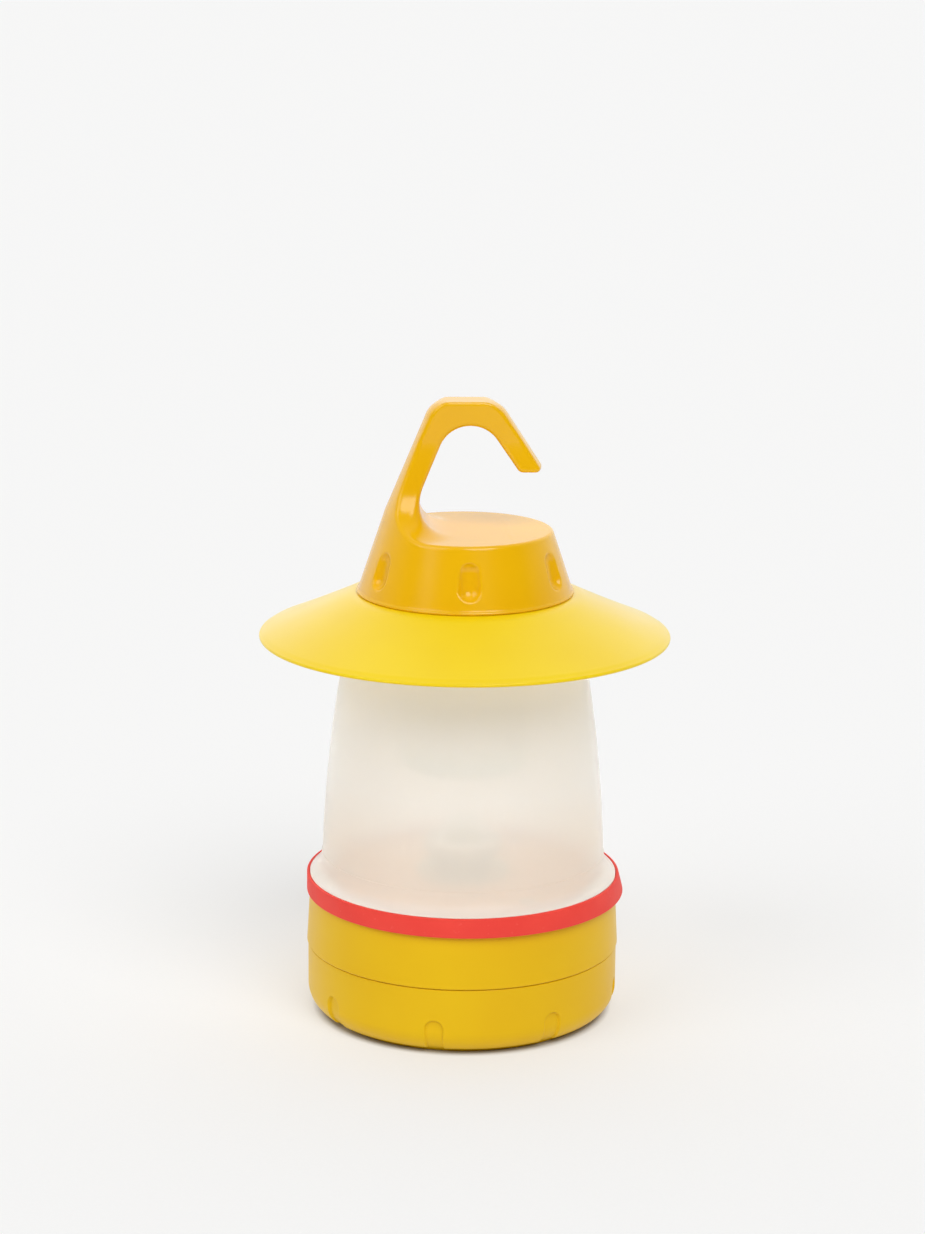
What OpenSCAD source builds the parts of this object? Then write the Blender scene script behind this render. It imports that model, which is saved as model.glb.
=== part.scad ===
// Camping lantern with a twist-off hat and hanging hook, a frosted globe, and a base for three AA cells.
// Millimetres. +Z is up, and the origin is on the floor under the middle of the base.
// The hook's arm is on the -X side and its tip points to +X. The power button is on the +Y side.

/* [Hat] */
// Radius of the brim's rim
brim_r = 65; // [55:0.5:80]
// Height of the brim's rim above the floor
brim_z = 123.4; // [110:0.1:135]
// Height where the cap sits on the brim
cap_z = 137.3; // [130:0.1:145]
// Radius of the cap at its foot
cap_r = 34.1; // [30:0.1:40]
// Radius of the cap at its flat top
cap_top_r = 27.4; // [22:0.1:32]
// Height of the cap's flat top
cap_top_z = 157.4; // [150:0.1:165]
// Thickness of the brim
brim_t = 1.5; // [1:0.1:3]
// Depth of each finger scoop in the cap
scoop_d = 1.8; // [0.5:0.1:2.2]

/* [Hook] */
// Height of the hook's flat top
hook_top_z = 198.4; // [180:0.1:210]
// Width of the hook from front to back
hook_w = 12; // [8:0.5:16]
// Radius of the seat inside the hook
seat_r = 10.1; // [7:0.1:12]
// Height of the seat's centre
seat_z = 180.8; // [175:0.1:186]
// Distance of the seat's centre from the lantern's axis
seat_x = 1; // [-2:0.1:3]
// Height of the cut-off tip
tip_z = 176.5; // [172:0.1:180]

/* [Globe] */
// Radius of the globe's wall at the flange
globe_r = 45.3; // [40:0.1:50]
// Thickness of the globe's wall
globe_t = 2.2; // [1.5:0.1:3]
// Radius of the arc that the globe's wall follows
globe_arc_r = 435; // [300:5:900]
// Outer radius of the threaded neck
neck_r = 26; // [22:0.1:28]

/* [Base] */
// Radius of the battery cover's wall
base_r = 49.4; // [45:0.1:55]
// Height of the seam between cover and shell
seam_z = 22.05; // [18:0.05:28]
// Radius of the shell just above the seam
lip_r = 50.1; // [49:0.1:56]
// Height of the shell's top edge
shell_z = 41; // [38:0.1:44]
// Depth of the grip notches in the cover
notch_d = 0.8; // [0.4:0.1:1.5]
// Width of each grip notch
notch_w = 5.6; // [4:0.1:8]
// Sideways shift of the soft band where it was pulled on
band_shift = 0.45; // [0:0.05:0.8]

/* [Cells] */
// Radius of an AA cell
cell_r = 7.2; // [7:0.05:7.25]
// Distance between neighbouring cells
cell_pitch = 15.3; // [15:0.1:17]
// Height of the cells' axes
cell_z = 17.4; // [17:0.1:18]

/* [Button] */
// Height of the power button
button_z = 31.6; // [31.4:0.1:31.8]
// Radius of the button
button_r = 5.5; // [4:0.1:5.5]

/* [Hidden] */
$fn = 96;
gap = 0.05;                       // pieces that touch
play = 0.3;                       // pieces that move past each other
lead = 24;                        // rise of both screw joints in one turn
lug_h = 1.8;                      // height of every screw lug
foot_r = 44;                      // standing ring under the cover
foot_h = 1.6;
edge_r = 7.72;                    // rounding of the cover's lower edge
edge_z = 8;
skirt_r = 45.2;                   // shell's skirt inside the cover
skirt_z = 12.1;
ledge_z = 10;                     // cover's ledge that carries the seal
deck_z = 43.05;                   // underside of the white deck
deck_t = 1.5;
sink_z = 55;                      // top of the heat sink
shoulder_z = 135;                 // globe's shoulder that carries the brim
neck_z = 144.5;                   // top of the globe's neck
bore_r = 28.2;                    // bore of the cap around the neck
bay_x = 28.6;                     // half the inside length of the battery tray
tray_z = 24.8;                    // underside of the tray's roof
roof_t = 2.2;
board_z = 30;                     // underside of the driver board
board_t = 1.6;
tray_bosses = [[35, 14], [35, -14], [-35, 14], [-35, -14]];
deck_boss_r = 37.5;
deck_bosses = [60, 180, 300];
button_seat_y = 47.5;             // middle of the shell wall at the button
cone = (cap_r - cap_top_r) / (cap_top_z - cap_z);

// ---------- shared shapes ----------

// Triangles round the side of a sweep with n + 1 rings of m points, and its two end faces.
function sweep_faces(n, m) = concat(
    [[for (j = [0:m - 1]) j]],
    [[for (j = [0:m - 1]) n * m + m - 1 - j]],
    [for (i = [0:n - 1], j = [0:m - 1]) [i * m + j, (i + 1) * m + j, i * m + (j + 1) % m]],
    [for (i = [0:n - 1], j = [0:m - 1])
        [i * m + (j + 1) % m, (i + 1) * m + j, (i + 1) * m + (j + 1) % m]]);

// A short piece of coarse thread from radius ra out to rb, centred on angle a at height z.
module lug(ra, rb, a, z, span) {
    steps = 9;
    lean = 0.3;
    za = ra < rb ? lug_h / 2 : lug_h / 2 - lean;
    rings = [for (i = [0:steps]) let (t = (i / steps - 0.5) * span, w = z + lead * t / 360)
        each [for (p = [[min(ra, rb), -1], [min(ra, rb), 1], [max(ra, rb), 1], [max(ra, rb), -1]])
            [p[0] * cos(a + t), p[0] * sin(a + t),
                w + p[1] * (p[0] == ra ? lug_h / 2 : lug_h / 2 - lean)]]];
    polyhedron(rings, sweep_faces(steps, 4));
}

function unit(v) = v / norm(v);
function bezier(p, t) = p[0] * pow(1 - t, 3) + p[1] * 3 * t * pow(1 - t, 2)
    + p[2] * 3 * t * t * (1 - t) + p[3] * pow(t, 3);

// A round wire of radius r along a list of points. No part of the path may run along up.
module wire(path, r, up, sides) {
    n = len(path) - 1;
    rings = [for (i = [0:n]) let (
        t = unit(path[min(i + 1, n)] - path[max(i - 1, 0)]),
        u = unit(cross(up, t)), v = cross(t, u))
        each [for (j = [0:sides - 1]) path[i] + r * (u * cos(360 * j / sides) + v * sin(360 * j / sides))]];
    polyhedron(rings, sweep_faces(n, sides));
}

// An insulated lead along a smooth curve with four control points.
module lead_wire(p, up) {
    wire([for (i = [0:14]) bezier(p, i / 14)], 0.7, up, 8);
}

// A screw with its head's underside at the origin, its shank pointing down and a cross recess.
module screw(shank_r, length, head_r, head_h) {
    difference() {
        union() {
            cylinder(r = head_r, h = head_h);
            translate([0, 0, -length]) cylinder(r = shank_r, h = length);
        }
        for (a = [0, 90]) rotate(a)
            translate([-head_r * 0.6, -head_r * 0.13, head_h * 0.45]) cube([head_r * 1.2, head_r * 0.26, head_h]);
    }
}

module ring(ro, ri, h) {
    difference() {
        cylinder(r = ro, h = h);
        translate([0, 0, -1]) cylinder(r = ri, h = h + 2);
    }
}

// ---------- hat ----------

// One finger scoop, as cut by a round-ended tool that leans in at the top.
module scoop_tool() {
    tool_r = 4.1;
    low_z = cap_z + 8;
    translate([0, -(cap_r - cone * (low_z - cap_z) - scoop_d + tool_r), low_z]) rotate([-12, 0, 0]) {
        sphere(r = tool_r);
        cylinder(r = tool_r, h = 5.2);
        translate([0, 0, 5.2]) sphere(r = tool_r);
    }
}

// Outline of a corner rounded to radius r, from the line a-b to the line b-c.
function rounded(a, b, c, r) = let (
    u = unit(a - b), w = unit(c - b), half = acos(u * w) / 2,
    o = b + unit(u + w) * (r / sin(half)),
    p = b + u * (r / tan(half)) - o, q = b + w * (r / tan(half)) - o,
    s = atan2(p[1], p[0]), d0 = atan2(q[1], q[0]) - s, d = d0 > 180 ? d0 - 360 : d0 < -180 ? d0 + 360 : d0)
    [for (i = [0:12]) o + r * [cos(s + d * i / 12), sin(s + d * i / 12)]];

// Side view of the hook: a flat-topped crook that rises from the left of the cap.
module hook_outline() {
    foot = [-cap_top_r + 0.9, cap_top_z - 1.2];
    left = [-10.9, hook_top_z];
    right = [10.1, hook_top_z];
    tip = [24.4, tip_z];
    arm_low = [-14.6, 167.5];
    difference() {
        polygon(concat([foot], rounded(foot, left, right, 6.7), rounded(left, right, tip, 8.1),
            rounded(right, tip, [0, tip_z], 1.9), [[13.4, tip_z], [seat_x, seat_z], [-8, seat_z],
            arm_low, [-5, cap_top_z + 0.4], [-5, cap_top_z - 1.2]]));
        translate([seat_x, seat_z]) circle(r = seat_r);
        // the two straight flanks of the gap, tangent to the seat
        polygon([[seat_x, seat_z] + seat_r * [cos(35), sin(35)], [seat_x, seat_z] + seat_r * [cos(157), sin(157)],
            arm_low, [seat_x, 160], [16.2, tip_z]]);
        translate([-6.9, 166.2]) circle(r = 7.9);
    }
}

module hook_cap() {
    color("gold") {
        difference() {
            rotate_extrude() polygon([[0, cap_z + gap], [cap_r - 0.3, cap_z + gap], [cap_r, cap_z + 0.4],
                [cap_r - 0.25, cap_z + 1.1], [cap_top_r + 1.6 * cone + 0.1, cap_top_z - 1.6],
                [cap_top_r - 0.3, cap_top_z - 0.5], [cap_top_r - 1.6, cap_top_z], [0, cap_top_z]]);
            translate([0, 0, cap_z - 1]) cylinder(r = bore_r, h = 11.2);
            translate([0, 0, cap_z + 10]) cylinder(r1 = bore_r, r2 = bore_r - 5, h = 7);
            for (a = [0:60:300]) rotate(a) scoop_tool();
        }
        for (a = [30, 150, 270]) lug(bore_r + 0.5, neck_r + 0.4, a, neck_z - 3.3 - lug_h - play, 36);
        translate([0, hook_w / 2, 0]) rotate([90, 0, 0]) linear_extrude(hook_w) hook_outline();
    }
}

// Points of the brim's upper or lower side, a shallow cone that steepens a little towards the cap.
function brim_side(dz) = [for (i = [0:6]) let (t = i / 6)
    [brim_r + (cap_r - brim_r) * t, brim_z + (cap_z - brim_z) * t - 1.3 * t * (1 - t) + dz]];

module brim() {
    low = brim_side(-brim_t / 2);
    color("gold") rotate_extrude() polygon(concat(
        [[29.3, cap_z], [29.3, shoulder_z + gap], [32.4, shoulder_z + gap]],
        [for (i = [5:-1:1]) low[i]],
        [[brim_r - 0.5, brim_z - 0.6], [brim_r - 0.1, brim_z - 0.45], [brim_r, brim_z],
            [brim_r - 0.2, brim_z + 0.5]],
        [for (i = [0:6]) let (p = brim_side(brim_t / 2 - 0.1)[i]) i == 0 ? p - [0.6, 0] :
            i == 6 ? [cap_r, cap_z] : p]));
}

// ---------- globe ----------

module globe() {
    mid_x = globe_r - globe_arc_r;
    color("white", 0.6) {
        rotate_extrude() {
            difference() {
                intersection() {
                    translate([mid_x, 39]) circle(r = globe_arc_r);
                    translate([30, 44]) square([20, 80.1]);
                }
                translate([mid_x - globe_t, 39]) circle(r = globe_arc_r);
            }
            difference() {
                translate([42.9, 43.1]) square([6.2, 9.3]);
                translate([53.56, 52.4]) circle(r = 8.3);
                translate([mid_x - globe_t, 39]) circle(r = globe_arc_r);
            }
            translate([41, shell_z + gap]) square([8.1, 2]);
            polygon([[34.9, 123.9], [37.1, 123.9], [36.8, 128], [35.7, 131.6], [33.8, 134], [31.5, shoulder_z],
                [neck_r, shoulder_z], [neck_r, neck_z], [neck_r - 2, neck_z], [neck_r - 2, 132.8],
                [30.6, 132.8], [32.4, 131.9], [33.8, 130], [34.6, 127.5]]);
        }
        for (a = [30, 150, 270]) lug(neck_r - 0.5, bore_r - 0.4, a, neck_z - 3.3, 36);
    }
}

// A deep white cup that hangs from the neck and throws the light outwards.
module top_reflector() {
    color("whitesmoke") rotate_extrude() polygon([[0, 77.6], [14, 79.2], [18.4, 80.6], [20, 83], [20.6, 92],
        [23.7, 133], [23.7, neck_z + gap], [25.8, neck_z + gap], [25.8, neck_z + 1.2], [22.6, neck_z + 1.2],
        [22.4, 133], [19.4, 92], [18.8, 83.6], [17.6, 81.8], [13.8, 80.5], [0, 78.9]]);
}

module globe_gasket() {
    color("dimgray") translate([0, 0, shell_z - 1.1]) ring(47.2, 44.8, 1.1);
}

module silicone_band() {
    color("tomato") translate([0, 0, 39.3]) difference() {
        translate([band_shift, 0, 0]) cylinder(r1 = 50.75, r2 = 50.05, h = 6.1);
        translate([0, 0, -1]) cylinder(r = 49.25, h = 8);
    }
}

// ---------- base ----------

module base_shell() {
    wall_r = 46.6;
    color("gold") difference() {
        union() {
            rotate_extrude() polygon([[42.6, skirt_z], [skirt_r, skirt_z], [skirt_r, seam_z + play],
                [lip_r - 0.2, seam_z + play], [lip_r, seam_z + 0.6], [49.1, shell_z], [33.5, shell_z],
                [33.5, shell_z - 2.4], [wall_r, shell_z - 2.4], [wall_r, 24.6], [42.6, 24.6]]);
            for (a = [30, 150, 270]) lug(skirt_r - 0.5, 46.5, a, 17, 30);
            for (p = tray_bosses) translate([p[0], p[1], tray_z + roof_t + gap])
                cylinder(r = 3.2, h = shell_z - 1 - tray_z - roof_t);
            for (a = deck_bosses) rotate(a) translate([deck_boss_r, 0, 31]) cylinder(r = 3.2, h = 9);
            // seat behind the button and the two rails that hold the switch board
            translate([0, button_seat_y, button_z]) rotate([90, 0, 0]) cylinder(r = button_r + 2.5, h = 1.85);
            for (s = [-1, 1]) translate([s * 9.4 - 1, 35, 24.7]) cube([2, 11, shell_z - 26]);
        }
        translate([0, 0, shell_z - 1.15]) ring(47.3, 44.7, 3);
        translate([0, 53, button_z]) rotate([90, 0, 0]) cylinder(r = button_r + play, h = 9);
        translate([0, 53, button_z]) rotate([90, 0, 0]) cylinder(r = button_r + 2.4, h = 3.9);
        for (p = tray_bosses) translate([p[0], p[1], tray_z]) cylinder(r = 1.25, h = 10);
        for (a = deck_bosses) rotate(a) translate([deck_boss_r, 0, 32]) cylinder(r = 1.25, h = 10);
        translate([-8.9, 36.3, 24]) cube([17.8, 1.8, shell_z - 27]);
    }
}

module deck_reflector() {
    color("cornsilk") difference() {
        union() {
            rotate_extrude() polygon([[4.5, deck_z], [42.6, deck_z], [42.6, deck_z + deck_t + 0.8],
                [41.8, deck_z + deck_t + 0.8], [40.9, deck_z + deck_t], [4.5, deck_z + deck_t]]);
            for (a = deck_bosses) rotate(a) translate([deck_boss_r, 0, shell_z + gap]) cylinder(r = 2.9, h = 2.4);
            for (a = [45:90:315]) rotate(a) translate([12, 0, deck_z - 4]) cylinder(r = 3, h = 4.4);
        }
        for (a = deck_bosses) rotate(a) translate([deck_boss_r, 0, 0]) {
            translate([0, 0, 40]) cylinder(r = 1.4, h = 6);
            translate([0, 0, deck_z + 0.15]) cylinder(r = 2.5, h = 3);
        }
        for (a = [45:90:315]) rotate(a) translate([12, 0, deck_z - 3.5]) cylinder(r = 1.25, h = 8);
    }
}

module deck_screws() {
    color("silver") for (a = deck_bosses) rotate(a)
        translate([deck_boss_r, 0, deck_z + 0.2]) screw(1.2, 9.5, 2.4, 1.3);
}

// ---------- light ----------

module heat_sink() {
    base_z = deck_z + deck_t + gap;
    color("lightgray") difference() {
        union() {
            translate([0, 0, base_z]) cylinder(r = 14.8, h = 1.6);
            translate([0, 0, base_z]) cylinder(r = 6, h = sink_z - base_z);
            translate([0, 0, sink_z - 2.4]) cylinder(r = 12.5, h = 2.4);
            for (a = [0:30:330]) rotate(a) translate([5, -0.6, base_z]) cube([4.4, 1.2, sink_z - base_z]);
        }
        translate([0, 0, base_z - 1]) cylinder(r = 3.6, h = 20);
        for (a = [45:90:315]) rotate(a) translate([12, 0, base_z - 1]) cylinder(r = 1.4, h = 4);
        for (s = [-1, 1]) translate([10.4 * s, 0, sink_z - 2]) cylinder(r = 0.85, h = 3);
    }
}

module sink_screws() {
    color("silver") for (a = [45:90:315]) rotate(a)
        translate([12, 0, deck_z + deck_t + 1.7]) screw(1.2, 6, 2.2, 1.5);
}

module led_board() {
    color("whitesmoke") translate([0, 0, sink_z + gap]) difference() {
        cylinder(r = 12.3, h = 1.2);
        for (s = [-1, 1]) translate([10.4 * s, 0, -1]) cylinder(r = 1, h = 4);
    }
}

module led_chips() {
    color("khaki") for (a = [90, 210, 330]) rotate(a)
        translate([1.8, -1.75, sink_z + 1.3]) cube([3.5, 3.5, 0.9]);
}

module led_lens() {
    color("white", 0.5) translate([0, 0, sink_z + 1.3]) rotate_extrude() intersection() {
        difference() {
            circle(r = 8);
            circle(r = 6.4);
        }
        square([9, 9]);
    }
}

module led_screws() {
    color("silver") for (s = [-1, 1]) translate([10.4 * s, 0, sink_z + 1.3]) screw(0.8, 3, 1.7, 1.1);
}

// ---------- electrics ----------

board_top = board_z + board_t + gap;
tab_top = tray_z + roof_t + 2;

module wires_red() {
    color("red") {
        lead_wire([[8, 4, board_top], [8, 4, 37], [1.3, 0, 36], [1.3, 0, sink_z - 0.1]], [0, 1, 0.01]);
        lead_wire([[bay_x - 1.3, -cell_pitch, tab_top - 1], [24, -cell_pitch, 36], [17, -1, 40],
            [17, -1, board_top]], [0.6, -1, 0]);
    }
}

module wires_black() {
    color("black") {
        lead_wire([[-8, 4, board_top], [-8, 4, 37], [-1.3, 0, 36], [-1.3, 0, sink_z - 0.1]], [0, 1, 0.01]);
        lead_wire([[1.3 - bay_x, cell_pitch, tab_top - 1], [-24, cell_pitch, 36], [-17, 1, 40],
            [-17, 1, board_top]], [-0.6, 1, 0]);
    }
}

module wires_switch() {
    color("white") for (s = [-1, 1]) lead_wire([[3 * s, 10, board_top], [3 * s, 10, 40], [5 * s, 24, button_z + 3],
        [5 * s, 36.3, button_z + 3]], [1, 0, 0]);
}

module driver_board() {
    color("seagreen") translate([0, 0, board_z]) difference() {
        translate([-20, -12, gap]) cube([40, 24, board_t - gap]);
        for (s = [-1, 1]) translate([17 * s, 9 * -s, -1]) cylinder(r = 1.3, h = 4);
    }
}

module driver_chips() {
    color("dimgray") translate([0, 0, board_top]) {
        translate([-4, -9, 0]) cylinder(r = 2.5, h = 4.2);
        translate([2.5, -9, 0]) cylinder(r = 2.5, h = 4.2);
        translate([-12, -7, 0]) cube([5, 4, 1.4]);
        translate([9, -7, 0]) cube([5.5, 5.5, 2.8]);
        translate([-2, -1, 0]) cube([3, 1.5, 0.8]);
    }
}

module board_screws() {
    color("silver") for (s = [-1, 1]) translate([17 * s, 9 * -s, board_top]) screw(0.9, 3.6, 1.8, 1.2);
}

module cell(y, s) {
    translate([s * (bay_x - 0.6), y, cell_z]) rotate([0, -90 * s, 0]) rotate_extrude() polygon([[0, 0],
        [2.4, 0], [2.7, 0.3], [2.7, 1.4], [cell_r - 0.8, 1.4], [cell_r, 2.1], [cell_r, 50], [cell_r - 0.5, 50.4],
        [0, 50.4]]);
}

module cell_1() { color("darkslateblue") cell(-cell_pitch, 1); }
module cell_2() { color("darkslateblue") cell(0, -1); }
module cell_3() { color("darkslateblue") cell(cell_pitch, 1); }

module battery_tray() {
    half_y = cell_pitch * 1.5 + 1.5;
    color("dimgray") difference() {
        union() {
            translate([-bay_x - 1.4, -half_y, ledge_z]) cube([2 * bay_x + 2.8, 2 * half_y, tray_z + roof_t - ledge_z]);
            for (p = tray_bosses) translate([p[0], p[1], tray_z]) cylinder(r = 3.6, h = roof_t);
            for (s = [-1, 1], t = [-1, 1]) translate([s > 0 ? bay_x : -35, t * 14 - 3.6, tray_z])
                cube([35 - bay_x, 7.2, roof_t]);
            for (s = [-1, 1]) translate([17 * s, 9 * -s, tray_z]) cylinder(r = 2.4, h = board_z - tray_z);
            for (s = [-1, 1]) translate([17 * s, 9 * s, tray_z]) cylinder(r = 1.8, h = board_z - tray_z);
        }
        for (i = [-1:1]) translate([-bay_x, i * cell_pitch - 7.4, ledge_z - 1])
            cube([2 * bay_x, 14.8, tray_z - ledge_z + 1]);
        // the walls between the cells are cut down so that a finger can reach them
        translate([-18, -cell_pitch - 5, ledge_z - 1]) cube([36, 2 * cell_pitch + 10, 7]);
        for (p = tray_bosses) translate([p[0], p[1], ledge_z]) cylinder(r = 1.4, h = 30);
        for (s = [-1, 1]) translate([17 * s, 9 * -s, tray_z + 0.8]) cylinder(r = 0.95, h = 8);
        // slots for the two solder tabs, and for the two plates that join neighbouring bays
        for (s = [-1, 1]) translate([s * (bay_x - 0.6) - 0.6, -s * cell_pitch - 2.2, tray_z - 1]) cube([1.2, 4.4, 5]);
        for (s = [-1, 1]) translate([s * (bay_x - 0.6) - 0.6, s * cell_pitch / 2 - 4, 14]) cube([1.2, 8, 9]);
    }
}

module tray_screws() {
    color("silver") for (p = tray_bosses) translate([p[0], p[1], tray_z - gap]) rotate([180, 0, 0])
        screw(1.2, 9, 2.5, 1.5);
}

module contact_plates() {
    x = bay_x - 0.35;
    color("lightgray") for (s = [-1, 1]) {
        translate([s * x - 0.2, -s * cell_pitch - 5, 12]) cube([0.4, 10, tray_z - 12.5]);
        translate([s * x - 0.2, -s * cell_pitch - 1.9, 20]) cube([0.4, 3.8, tab_top - 20]);
        translate([s * x - 0.2, s * cell_pitch / 2 - 11, 14.5]) cube([0.4, 22, 8]);
    }
}

// A conical coil that presses on a cell's flat end.
module coil(y, s) {
    turns = 4.5;
    n = 72;
    translate([s * (bay_x - 1), y, cell_z]) rotate([0, 0, s > 0 ? 180 : 0])
        wire([for (i = [0:n]) let (a = 360 * turns * i / n, r = 4.6 - 2 * i / n)
            [4.6 * i / n, r * cos(a), r * sin(a)]], 0.4, [1, 0, 0], 6);
}

module contact_springs() {
    color("silver") {
        coil(-cell_pitch, -1);
        coil(0, 1);
        coil(cell_pitch, -1);
    }
}

// ---------- switch ----------

module switch_board() {
    color("seagreen") translate([-8.75, 36.4, 24.75]) cube([17.5, 1.6, 12.4]);
}

module switch_body() {
    color("dimgray") difference() {
        translate([-3.4, 38.05, button_z - 3.4]) cube([6.8, 3.5, 6.8]);
        translate([0, 42, button_z]) rotate([90, 0, 0]) cylinder(r = 2.05, h = 3.4);
    }
}

module switch_plunger() {
    color("ivory") translate([0, 43, button_z]) rotate([90, 0, 0]) cylinder(r = 1.75, h = 2.8);
}

// Button with a domed face, a rim that stops it falling out, and a post that meets the switch.
module power_button() {
    dome_r = 17;
    color("tomato") difference() {
        translate([0, 0, button_z]) rotate([-90, 0, 0]) {
            translate([0, 0, 43.05]) cylinder(r = 2.2, h = 2);
            translate([0, 0, 44.4]) cylinder(r = button_r + 1.3, h = 1.2);
            intersection() {
                translate([0, 0, 45]) cylinder(r = button_r, h = 8);
                translate([0, 0, 51.3 - dome_r]) sphere(r = dome_r);
            }
        }
        translate([0, 51, button_z]) rotate([90, 0, 0]) difference() {
            translate([0, 0, -1]) cylinder(r = 3.2, h = 1.2);
            translate([0, 0, -2]) cylinder(r = 2.5, h = 3);
        }
    }
}

// ---------- battery cover ----------

module cover_seal() {
    color("dimgray") translate([0, 0, ledge_z + gap]) ring(46.6, 43.6, skirt_z - ledge_z - 0.1);
}

// Half-section of the cover's outside, drawn smaller by d.
module cover_outside(d) {
    intersection() {
        union() {
            translate([base_r - edge_r, edge_z]) circle(r = edge_r - d);
            translate([0, edge_z]) square([base_r - d, seam_z - edge_z]);
            square([base_r - edge_r, edge_z + 1]);
        }
        translate([0, foot_h]) square([60, seam_z - foot_h]);
    }
}

module battery_cover() {
    color("gold") {
        difference() {
            union() {
                rotate_extrude() cover_outside(0);
                ring(foot_r, foot_r - 3, foot_h + 1);
            }
            rotate_extrude() polygon([[0, 4], [39.5, 4], [42.2, 5], [43.4, 7.4], [43.4, ledge_z],
                [46.9, ledge_z], [46.9, 30], [0, 30]]);
            // grip notches with arched tops, cut to an even depth round the lower edge
            difference() {
                for (i = [0:7]) rotate(-102.5 + 45 * i) rotate([90, 0, 90]) linear_extrude(60) {
                    translate([0, 8.9]) circle(r = notch_w / 2);
                    translate([-notch_w / 2, 0]) square([notch_w, 8.9]);
                }
                rotate_extrude() cover_outside(notch_d);
                translate([0, 0, -1]) cylinder(r = foot_r + 1, h = 9);
            }
        }
        // lugs that ride on the shell's lugs, and ribs that stiffen the floor
        for (a = [30, 150, 270]) lug(47.4, 45.6, a, 17 + lug_h + play, 30);
        for (a = [0:60:300]) rotate(a) translate([14, -0.8, 3.5]) cube([25, 1.6, 3.3]);
        translate([0, 0, 3.5]) ring(14.8, 13.2, 3.3);
    }
}

hook_cap();
brim();
globe();
top_reflector();
globe_gasket();
silicone_band();
base_shell();
deck_reflector();
deck_screws();
heat_sink();
sink_screws();
led_board();
led_chips();
led_lens();
led_screws();
wires_red();
wires_black();
wires_switch();
driver_board();
driver_chips();
board_screws();
battery_tray();
tray_screws();
cell_1();
cell_2();
cell_3();
contact_plates();
contact_springs();
switch_board();
switch_body();
switch_plunger();
power_button();
cover_seal();
battery_cover();
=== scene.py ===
"""Camping lantern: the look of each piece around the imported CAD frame, with its camera, floor and light.

Metres, in the CAD's frame: +Z up, the origin on the floor under the base, the hook's tip towards +X.
"""
import math

import bpy
import numpy as np
from mathutils import Matrix, Vector


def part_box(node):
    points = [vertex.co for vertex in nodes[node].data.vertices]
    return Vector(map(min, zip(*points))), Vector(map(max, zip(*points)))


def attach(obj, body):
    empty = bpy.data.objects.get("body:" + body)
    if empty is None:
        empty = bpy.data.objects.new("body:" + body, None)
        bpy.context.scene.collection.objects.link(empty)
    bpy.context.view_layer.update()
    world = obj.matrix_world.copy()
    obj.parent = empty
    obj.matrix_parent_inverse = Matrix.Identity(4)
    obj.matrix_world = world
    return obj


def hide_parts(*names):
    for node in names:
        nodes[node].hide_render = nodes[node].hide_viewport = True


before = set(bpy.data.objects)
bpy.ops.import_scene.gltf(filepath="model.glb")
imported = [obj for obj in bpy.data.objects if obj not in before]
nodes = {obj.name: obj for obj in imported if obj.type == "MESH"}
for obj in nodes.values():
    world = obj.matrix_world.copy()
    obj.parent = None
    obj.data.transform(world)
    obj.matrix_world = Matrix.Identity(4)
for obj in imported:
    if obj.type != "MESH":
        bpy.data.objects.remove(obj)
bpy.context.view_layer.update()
MM = 0.001


# ---------- camera ----------

def place_camera():
    """A long lens, a little above the lantern, with a slight roll."""
    distance, lens, sensor_width = 1.0, 92.3, 36.0
    aim_z, aim_right = 0.1288, -0.77 * MM
    azimuth, elevation, roll = math.radians(-2.5), math.radians(13.6), math.radians(0.5)
    spin = Matrix.Rotation(azimuth, 3, "Z")
    ahead = spin @ Vector((0, math.cos(elevation), -math.sin(elevation)))
    right = spin @ Vector((1, 0, 0))
    up = right.cross(ahead)
    aim = Vector((0, 0, aim_z)) + right * aim_right
    tilted_right = right * math.cos(roll) + up * math.sin(roll)
    tilted_up = up * math.cos(roll) - right * math.sin(roll)
    data = bpy.data.cameras.new("camera")
    data.lens = lens
    data.sensor_width = sensor_width
    camera = bpy.data.objects.new("camera", data)
    axes = Matrix((tilted_right, tilted_up, -ahead)).transposed()
    camera.matrix_world = Matrix.Translation(aim - ahead * distance) @ axes.to_4x4()
    bpy.context.scene.collection.objects.link(camera)
    bpy.context.scene.camera = camera


# ---------- mesh making ----------

def new_piece(name, verts, faces, smooth=True):
    """A mesh object from points in metres and faces."""
    mesh = bpy.data.meshes.new(name)
    mesh.from_pydata([tuple(v) for v in verts], [], [tuple(int(i) for i in f) for f in faces])
    mesh.validate()
    mesh.update()
    if smooth:
        mesh.polygons.foreach_set("use_smooth", [True] * len(mesh.polygons))
    piece = bpy.data.objects.new(name, mesh)
    bpy.context.scene.collection.objects.link(piece)
    return piece


def arc(cx, cz, r, start, end, steps):
    """Points on an arc in the (radius, height) half-plane, in mm and degrees."""
    angles = np.radians(np.linspace(start, end, steps + 1))
    return [(cx + r * math.cos(a), cz + r * math.sin(a)) for a in angles]


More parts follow.
